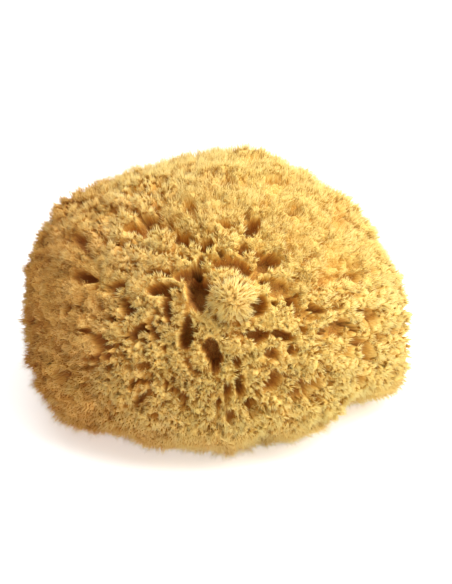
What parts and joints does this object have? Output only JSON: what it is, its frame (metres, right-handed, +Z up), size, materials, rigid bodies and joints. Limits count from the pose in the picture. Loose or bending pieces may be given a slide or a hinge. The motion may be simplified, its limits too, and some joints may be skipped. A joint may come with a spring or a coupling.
{
  "type": "sea sponge",
  "caption": "Natural bath sponge: a springy, dome-shaped sponge skeleton of fine golden fibres in tufts, with deep pits between them, cut flat underneath so that it rests on a surface.",
  "frame": {"origin": "on the flat cut underneath, at the middle of the sponge's width and depth", "axes": "+Z up, out of the flat cut; -Y is the front, the side with the deepest pits; +X to the right seen from the front, along the sponge's width"},
  "size_m": [0.164, 0.15, 0.102],
  "materials": {
    "sponge": "dry springy sponge fibre, matt, golden yellow with pale tips and amber-brown pits"
  },
  "bodies": {
    "root": {"sponge": "sponge"}
  },
  "joints": []
}
